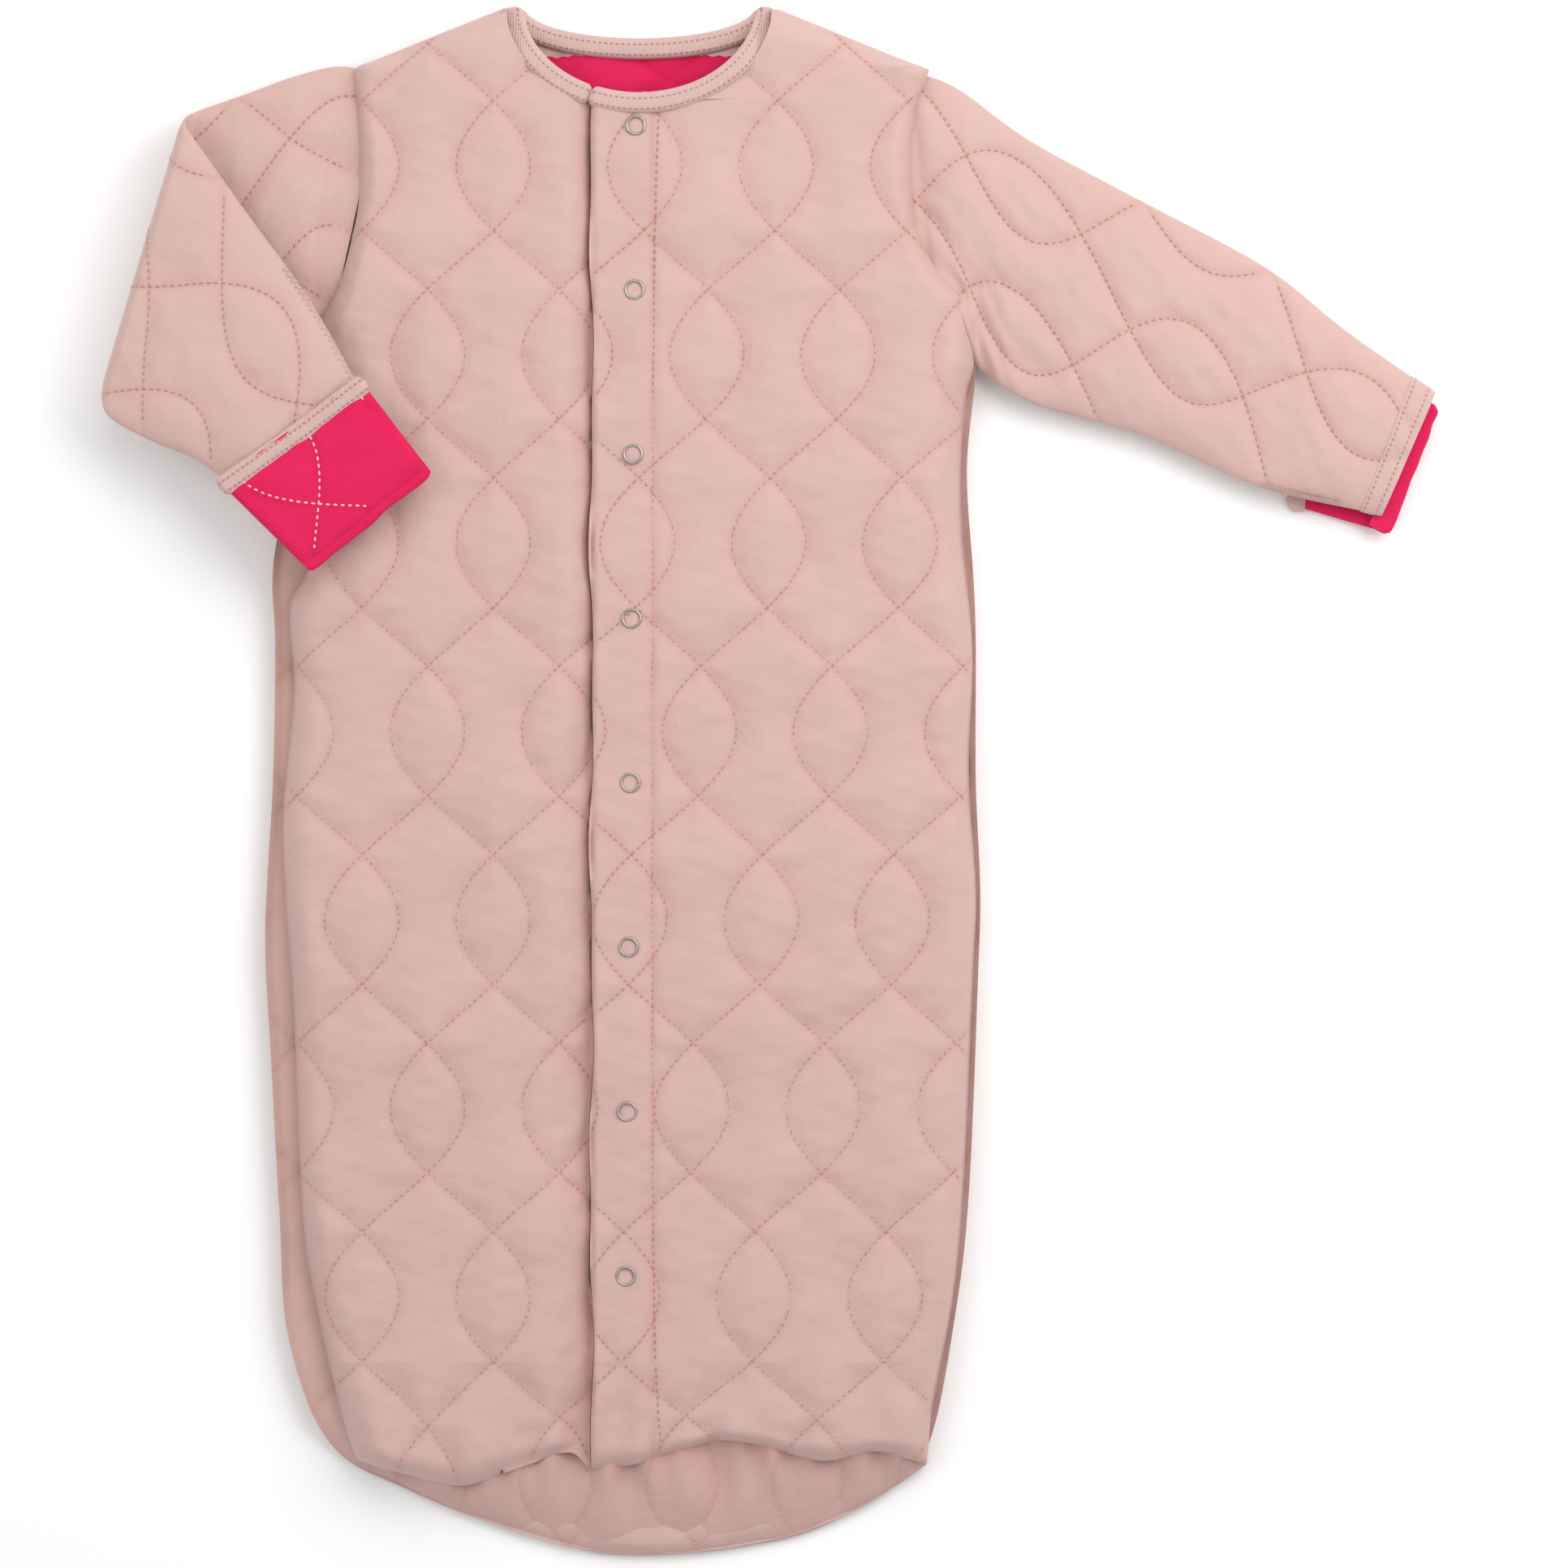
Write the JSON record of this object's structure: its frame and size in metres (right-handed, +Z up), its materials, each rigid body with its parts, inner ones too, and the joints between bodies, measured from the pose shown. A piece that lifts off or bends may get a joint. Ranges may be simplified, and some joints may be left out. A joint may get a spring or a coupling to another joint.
{
  "type": "baby sleeping bag",
  "caption": "Quilted baby sleeping bag with long sleeves, a snap placket down the front, bound neck and cuffs, and fold-over mitt flaps.",
  "frame": {"origin": "underside of the bag, below the middle of the chest", "axes": "+Z up from the surface the bag lies on, +Y from the foot to the neck, +X to the right as seen from the front"},
  "size_m": [0.5917, 0.6995, 0.0477],
  "materials": {
    "jersey": "matte pale pink jersey",
    "lining": "matte red-pink jersey",
    "wadding": "matte fibre",
    "rib_binding": "matte rib knit",
    "snap_metal": "satin"
  },
  "bodies": {
    "bag": {"back_jersey": "jersey", "back_wadding": "wadding", "back_lining": "lining", "foot_lining": "lining", "foot_wadding": "wadding", "foot_jersey": "jersey", "side_seam_right": "wadding", "side_seam_left": "wadding", "shoulder_seams": "wadding", "front_right_lining": "lining", "front_right_wadding": "wadding", "front_right_jersey": "jersey", "front_left_lining": "lining", "front_left_wadding": "wadding", "front_left_jersey": "jersey", "neck_binding_back": "rib_binding", "sleeve_right_upper_lining": "lining", "sleeve_right_upper_wadding": "wadding", "sleeve_right_upper_jersey": "jersey", "sleeve_left_upper_lining": "lining", "sleeve_left_upper_wadding": "wadding", "sleeve_left_upper_jersey": "jersey"},
    "overlap": {"overlap_lining": "lining", "overlap_wadding": "wadding", "overlap_jersey": "jersey", "neck_binding_overlap": "rib_binding", "snap_rings": "snap_metal", "snap_sockets": "snap_metal"},
    "underlap": {"underlap_lining": "lining", "underlap_wadding": "wadding", "underlap_jersey": "jersey", "underlap_placket": "jersey", "neck_binding_underlap": "rib_binding", "snap_studs": "snap_metal", "snap_back_rings": "snap_metal"},
    "left_forearm": {"sleeve_left_forearm_lining": "lining", "sleeve_left_forearm_wadding": "wadding", "sleeve_left_forearm_jersey": "jersey", "cuff_binding_left": "rib_binding"},
    "left_mitt": {"mitt_left_lining": "lining", "mitt_left_jersey": "jersey", "mitt_left_binding": "rib_binding"},
    "right_forearm": {"sleeve_right_forearm_lining": "lining", "sleeve_right_forearm_wadding": "wadding", "sleeve_right_forearm_jersey": "jersey", "cuff_binding_right": "rib_binding"},
    "right_mitt": {"mitt_right_lining": "lining", "mitt_right_jersey": "jersey", "mitt_right_binding": "rib_binding"}
  },
  "joints": [
    {"name": "overlap_open", "type": "hinge", "parent": "bag", "child": "overlap", "pos_m": [0.066, 0.347, 0.026], "axis": [0.059, 0.9983, 0], "range_deg": [0, 120]},
    {"name": "underlap_open", "type": "hinge", "parent": "bag", "child": "underlap", "pos_m": [-0.053, 0.347, 0.0257], "axis": [0.0377, -0.9993, 0], "range_deg": [0, 36]},
    {"name": "left_sleeve_unfold", "type": "hinge", "parent": "bag", "child": "left_forearm", "pos_m": [-0.1935, 0.2957, 0.024], "axis": [-0.2871, -0.9579, 0], "range_deg": [0, 180]},
    {"name": "right_sleeve_fold", "type": "hinge", "parent": "bag", "child": "right_forearm", "pos_m": [0.201, 0.2785, 0.024], "axis": [0.2942, -0.9557, 0], "range_deg": [0, 180]},
    {"name": "left_mitt_turn", "type": "hinge", "parent": "left_forearm", "child": "left_mitt", "pos_m": [-0.14064, 0.09599, 0.04385], "axis": [0.7815, 0.6239, 0], "range_deg": [0, 180]},
    {"name": "right_mitt_turn", "type": "hinge", "parent": "right_forearm", "child": "right_mitt", "pos_m": [0.361, 0.176, 0.00415], "axis": [-0.3881, -0.9216, 0], "range_deg": [0, 180]}
  ],
  "couplings": [
    {"joint": "underlap_open", "follows": "overlap_open", "ratio": 0.3}
  ]
}
